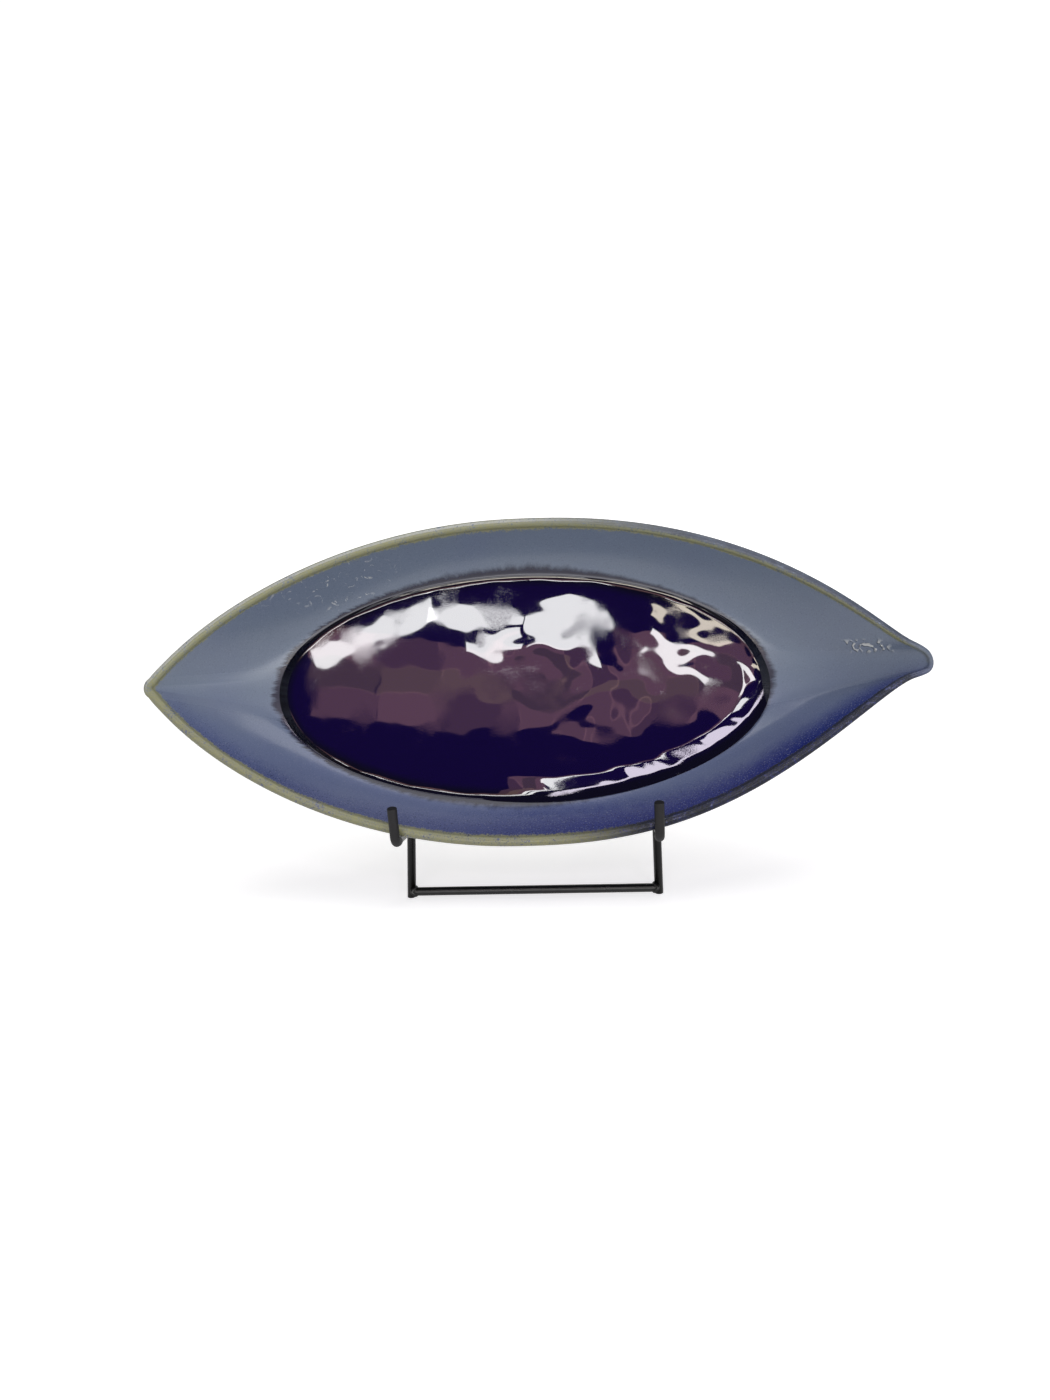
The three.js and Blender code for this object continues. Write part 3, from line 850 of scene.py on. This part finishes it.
# %% [markdown]
# ## The rear prop
#
# Two legs hang from short tubes that turn on the top bar, with a floor bar between their feet. A
# tab on each tube meets the back of the upright and stops the prop at its open angle. A tube is a
# ring with a flat section, so a rounded rectangle is swept round a circle. The tabs keep the
# measured shape, with their edges eased.

# %% Tubes on the top bar
HINGE_PLAY = 0.0007
TUBE_SIDES = 48
TAB_EASE = 0.0003
TUBE_SIZES = {"Bore": BAR_DIAMETER + HINGE_PLAY, "Wall": 0.0015, "Length": 0.012, "Edge": 0.0003}


def tube_tree(centre):
    tree, _, size = shape_tree("hinge_tube", TUBE_SIZES)
    middle_radius = (size["Bore"] + size["Wall"]) / 2
    ring = step(tree, "CurvePrimitiveCircle", resolution=TUBE_SIDES, radius=middle_radius)
    section = step(tree, "CurvePrimitiveQuadrilateral", width=size["Wall"], height=size["Length"])
    section = step(tree, "FilletCurve", section, {"mode": "POLY"}, count=3, radius=size["Edge"])
    tube = step(tree, "CurveToMesh", ring, profile_curve=section)
    tube = step(tree, "Transform", tube, translation=centre, rotation=(0, math.pi / 2, 0))
    finish_tree(tree, tube, paint)
    return tree


def eased_copy(name, node):
    """A copy of a measured piece with its doubles merged and its edges eased."""
    shape = bmesh.new()
    shape.from_mesh(frame["nodes"][node].data)
    bmesh.ops.remove_doubles(shape, verts=shape.verts, dist=1e-6)
    bmesh.ops.dissolve_limit(shape, angle_limit=math.radians(1), verts=shape.verts, edges=shape.edges)
    sharp = [edge for edge in shape.edges if edge.calc_face_angle(0) > SHARP_ANGLE]
    bmesh.ops.bevel(shape, geom=sharp, offset=TAB_EASE, segments=2, affect="EDGES", profile=0.5)
    mesh = bpy.data.meshes.new(name)
    shape.to_mesh(mesh)
    shape.free()
    mesh.materials.append(paint)
    piece = bpy.data.objects.new(name, mesh)
    scene.collection.objects.link(piece)
    return piece


prop_middle = middle("prop_floor_bar")
for side in ("left", "right"):
    tube_centre = at_x(hinge, middle(side + "_hinge_barrel").x)
    tube = grow(side + "_tube", tube_tree(tube_centre), TUBE_SIZES)
    settle(tube, "rear_prop", "black_bar", side + "_hinge_barrel")
    settle(eased_copy(side + "_tab", side + "_stop_lug"), "rear_prop", "black_bar", side + "_stop_lug")
    leg_foot = at_x(prop_middle, tube_centre.x)
    up_leg = (tube_centre - leg_foot).normalized()
    leg_top = tube_centre - up_leg * (TUBE_SIZES["Bore"] / 2 + TUBE_SIZES["Wall"] / 2)
    settle(footed_leg(side + "_prop_bar", leg_foot, leg_top), "rear_prop", "black_bar", side + "_prop_leg")
settle(cross_bar("prop_floor_round", "prop_floor_bar"), "rear_prop", "black_bar", "prop_floor_bar")

# %% [markdown]
# ## Weld beads
#
# Where one bar ends on another, a small fillet of weld runs round the joint, and the paint covers
# it. The line where two round bars meet is found for each joint from their axes and radii. One tree
# then lays an uneven bead on all of these lines and flattens it where it would meet the table. Each
# body of the stand gets one mesh of beads.

# %% Lines where bars meet
RING_STEPS = 40
RING_INSET = 0.97
TUBE_OUTSIDE = TUBE_SIZES["Bore"] / 2 + TUBE_SIZES["Wall"]


def joint_ring(centre, branch, branch_radius, main, main_radius):
    """Points where a branch bar's skin meets the main bar's skin; their axes cross at the centre."""
    across = branch.cross(main).normalized()
    along = across.cross(branch)
    reach = branch - main * branch.dot(main)
    points = []
    for index in range(RING_STEPS):
        turn = 2 * math.pi * index / RING_STEPS
        skin = (across * math.cos(turn) + along * math.sin(turn)) * branch_radius * RING_INSET
        aside = skin - main * skin.dot(main)
        half = aside.dot(reach)
        room = half ** 2 - reach.length_squared * (aside.length_squared - main_radius ** 2)
        points.append(centre + skin + branch * ((math.sqrt(room) - half) / reach.length_squared))
    return points


def rings_mesh(name, rings):
    points = [tuple(point) for ring in rings for point in ring]
    edges = []
    for ring in range(len(rings)):
        first = ring * RING_STEPS
        edges += [(first + i, first + (i + 1) % RING_STEPS) for i in range(RING_STEPS)]
    mesh = bpy.data.meshes.new(name)
    mesh.from_pydata(points, edges, [])
    return mesh


bar_radius = BAR_DIAMETER / 2
across_stand = Vector((1, 0, 0))
frame_rings = []
prop_rings = []
for side in ("left", "right"):
    upright_x = middle(side + "_upright").x
    to_middle = across_stand * -math.copysign(1, upright_x)
    floor_joint = at_x(floor_middle, upright_x)
    frame_rings.append(joint_ring(floor_joint, to_middle, bar_radius, up_frame, bar_radius))
    arm_root = at_x(arm_joint, upright_x)
    frame_rings.append(joint_ring(arm_root, -DOWN_ARM, ARM_DIAMETER / 2, up_frame, bar_radius))
    tube_centre = at_x(hinge, middle(side + "_hinge_barrel").x)
    leg_foot = at_x(prop_middle, tube_centre.x)
    up_leg = (tube_centre - leg_foot).normalized()
    prop_rings.append(joint_ring(leg_foot, to_middle, bar_radius, up_leg, bar_radius))
    prop_rings.append(joint_ring(tube_centre, -up_leg, bar_radius, across_stand, TUBE_OUTSIDE))
print("joints:", len(frame_rings), "on the frame,", len(prop_rings), "on the prop")

# %% Beads on the lines
TABLE_GAP = 0.0001
BEAD_SIDES = 12
BEAD_SIZES = {"Bead radius": 0.00115, "Unevenness": 0.9}


def bead_tree():
    tree, path, size = shape_tree("weld_beads", BEAD_SIZES)
    curve = step(tree, "MeshToCurve", path)
    place = tree.nodes.new("GeometryNodeInputPosition").outputs[0]
    waver = 1 + noise(tree, place, 600, detail=1) * size["Unevenness"]
    curve = step(tree, "SetCurveRadius", curve, radius=waver)
    circle = step(tree, "CurvePrimitiveCircle", resolution=BEAD_SIDES, radius=size["Bead radius"])
    bead = step(tree, "CurveToMesh", curve, profile_curve=circle)
    split = tree.nodes.new("ShaderNodeSeparateXYZ")
    plug(place, split.inputs[0])
    above = Field(split.outputs["Z"]).at_least(TABLE_GAP)
    above = vector(tree, Field(split.outputs["X"]), Field(split.outputs["Y"]), above)
    bead = step(tree, "SetPosition", bead, position=above)
    finish_tree(tree, bead, paint)
    return tree


bead_rule = bead_tree()
for body, rings in (("stand_frame", frame_rings), ("rear_prop", prop_rings)):
    beads = grow(body + "_welds", bead_rule, BEAD_SIZES, rings_mesh(body + "_welds", rings))
    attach(beads, body)

# %% [markdown]
# ## The stage
#
# A white bowl, flat in the middle and turned up far away, is the table and the background from
# every side. It looks white to the camera and in gloss, and it takes the shadow of the object. Its
# lip stays low, so that the glass in the dish mirrors the dim room above it.

# %% Floor and backdrop
FLOOR_RADIUS = 16.0
BOWL_RADIUS = 19.0
BOWL_HEIGHT = 8.5
TURN_INSET = 1
TURN_HEIGHT = 1.5
BOWL_STEPS = 96
NEAR_FLOOR = 0.35
FAR_FLOOR = 1.6
NEAR_WHITE = 0.62


def stage_finish():
    material, tree, shader = finish("white_stage", roughness=0.9, base_color=(0.8, 0.8, 0.8, 1.0))
    path = tree.nodes.new("ShaderNodeLightPath")
    seen = Field(path.outputs["Is Camera Ray"])
    for kind in ("Is Glossy Ray", "Is Transmission Ray"):
        seen = seen.math("MAXIMUM", Field(path.outputs[kind]))
    shader.inputs["Emission Color"].default_value = (1.0, 1.0, 1.0, 1.0)
    split = tree.nodes.new("ShaderNodeSeparateXYZ")
    plug(place_in(tree), split.inputs[0])
    from_middle = (Field(split.outputs["X"]) ** 2 + Field(split.outputs["Y"]) ** 2).root()
    whiteness = NEAR_WHITE + (1 - NEAR_WHITE) * from_middle.smooth(NEAR_FLOOR, FAR_FLOOR)
    plug(seen * whiteness, shader.inputs["Emission Strength"])
    return material


def stage_bowl():
    profile = [(0.0, 0.0), (FLOOR_RADIUS, 0.0), (BOWL_RADIUS - TURN_INSET, TURN_HEIGHT)]
    profile.append((BOWL_RADIUS, BOWL_HEIGHT))
    shape = bmesh.new()
    points = [shape.verts.new((radius, 0.0, height)) for radius, height in profile]
    edges = [shape.edges.new(pair) for pair in zip(points, points[1:])]
    bmesh.ops.spin(
        shape, geom=points + edges, axis=(0, 0, 1), cent=(0, 0, 0), steps=BOWL_STEPS, angle=2 * math.pi
    )
    bmesh.ops.remove_doubles(shape, verts=shape.verts, dist=1e-5)
    bmesh.ops.recalc_face_normals(shape, faces=shape.faces)
    bmesh.ops.reverse_faces(shape, faces=shape.faces)
    mesh = bpy.data.meshes.new("stage_bowl")
    shape.to_mesh(mesh)
    shape.free()
    mesh.materials.append(stage_finish())
    bowl = bpy.data.objects.new("stage_bowl", mesh)
    scene.collection.objects.link(bowl)


stage_bowl()
print("stage made, reaching", BOWL_RADIUS, "m")

# %% [markdown]
# ## The lamps
#
# The glass mirrors its room, so the lamps are laid out like one: a bright window, a warm wall below
# it, and pale panels to the sides. Each is a plain soft box that faces the dish. A dim world adds a
# little light from everywhere.

# %% Lamps and world
MIDDLE_ABOVE_FOOT = 0.008
DISH_MIDDLE = foot_centre + out_of_dish * MIDDLE_ABOVE_FOOT


def in_front(side, elevation):
    """A direction from the dish: its share to the right, and its rise in degrees."""
    rise = math.sin(math.radians(elevation))
    return Vector((side, -math.sqrt(1 - side ** 2 - rise ** 2), rise))


def soft_box(name, towards, distance, width, height, brightness, colour=(1.0, 1.0, 1.0), roll=0.0):
    """A flat lamp that faces the dish from a direction; roll lifts its right end, in degrees."""
    lamp = bpy.data.lights.new(name, "AREA")
    lamp.shape = "RECTANGLE"
    lamp.size = width
    lamp.size_y = height
    lamp.energy = brightness * math.pi * width * height
    lamp.color = colour
    box = bpy.data.objects.new(name, lamp)
    turn = towards.to_track_quat("Z", "Y").to_matrix().to_4x4()
    turn = turn @ Matrix.Rotation(math.radians(roll), 4, "Z")
    box.matrix_world = Matrix.Translation(DISH_MIDDLE + towards * distance) @ turn
    scene.collection.objects.link(box)


ROOM_DEPTH = 4.0
WINDOW_LIGHT = 15.0
WALL_COLUMNS, WALL_LEVELS = 7, 3
WALL_PANEL = (0.272, 0.124)
WALL_LEFT, WALL_STEP = -0.27, 0.066
WALL_LOW, WALL_RISE = 29.9, 1.75
WALL_LIGHT, WALL_SWING = 1.35, 0.5
ROOM_LIGHT = 0.04
WARM = (1.0, 0.50, 0.54)
BROWN = (1.0, 0.60, 0.46)
CREAM = (1.0, 0.9, 0.74)
LAVENDER = (0.93, 0.85, 1.0)
soft_box("window", in_front(-0.037, 35.1), ROOM_DEPTH, 0.30, 0.19, WINDOW_LIGHT)
soft_box("window_top", in_front(-0.13, 35.9), ROOM_DEPTH, 0.42, 0.075, WINDOW_LIGHT)
soft_box("window_low", in_front(-0.118, 34.3), ROOM_DEPTH, 0.24, 0.07, WINDOW_LIGHT)
soft_box("window_left", in_front(-0.236, 34.3), ROOM_DEPTH, 0.55, 0.095, WINDOW_LIGHT, roll=30)
soft_box("window_right", in_front(0.085, 33.0), ROOM_DEPTH, 0.34, 0.09, WINDOW_LIGHT, roll=-33)
for column in range(WALL_COLUMNS):
    for row in range(WALL_LEVELS):
        name = "warm_wall_" + str(column) + str(row)
        level = WALL_LIGHT + WALL_SWING * math.sin(column * 2.3 + row * 4.1)
        towards = in_front(WALL_STEP * column + WALL_LEFT, WALL_LOW + WALL_RISE * row)
        colour = (WARM, BROWN)[row % 2]
        soft_box(name, towards, ROOM_DEPTH, WALL_PANEL[0], WALL_PANEL[1], level, colour)
soft_box("cream_rail", in_front(0.098, 35.5), ROOM_DEPTH, 0.34, 0.05, 12.0, CREAM, roll=-38)
soft_box("cream_strip", in_front(-0.05, 21.8), ROOM_DEPTH, 0.66, 0.16, 12.0, CREAM)
soft_box("low_fill", in_front(0.30, 7.5), 5.0, 7.5, 2.0, 3.4)
soft_box("ceiling_panel", in_front(-0.04, 42.2), 2.0, 0.24, 0.15, 14.0, LAVENDER)
soft_box("right_panel", in_front(0.36, 30.0), 3.0, 0.5, 0.5, 7.0, LAVENDER)
soft_box("overhead", in_front(0.05, 80.0), 1.8, 1.8, 1.4, 2.3)
soft_box("back_fill", Vector((0.25, 0.8, 0.55)).normalized(), 3.0, 2.4, 1.6, 1.3)

world = bpy.data.worlds.new("dim_room")
scene.world = world
world.use_nodes = True
sky = world.node_tree.nodes["Background"]
sky.inputs["Color"].default_value = (1.0, 1.0, 1.0, 1.0)
sky.inputs["Strength"].default_value = ROOM_LIGHT
scene.view_settings.view_transform = "Standard"
print("lamps:", [light.name for light in bpy.data.lights])
